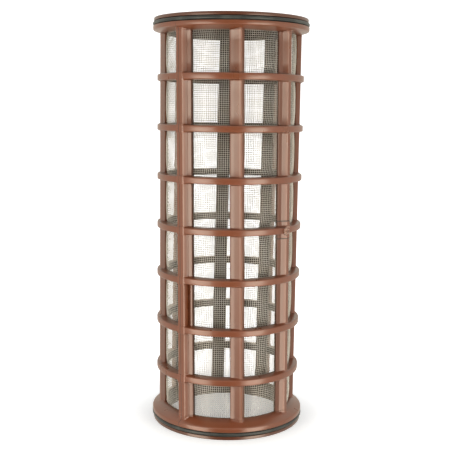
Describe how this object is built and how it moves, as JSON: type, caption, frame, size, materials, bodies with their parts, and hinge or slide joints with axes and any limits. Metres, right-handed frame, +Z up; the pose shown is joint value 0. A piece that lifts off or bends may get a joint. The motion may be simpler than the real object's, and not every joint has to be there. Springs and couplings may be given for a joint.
{
  "type": "filter screen",
  "caption": "Cylindrical filter screen: a woven stainless wire tube in a moulded plastic cage of ribs and hoops, open at both ends, with a rubber sealing ring in each flange.",
  "frame": {"origin": "centre of the bottom end face, on the axis of the tube", "axes": "+Z up the axis of the tube, -Y towards the side that the picture shows"},
  "size_m": [0.1084, 0.1084, 0.283],
  "materials": {
    "cage_plastic": "moulded reddish brown polypropylene, satin",
    "stainless_wire": "bright drawn stainless wire, woven square",
    "seal_rubber": "smooth black nitrile rubber"
  },
  "bodies": {
    "root": {"frame": "cage_plastic", "wire_screen": "stainless_wire", "bottom_o_ring": "seal_rubber", "top_o_ring": "seal_rubber"}
  },
  "joints": []
}
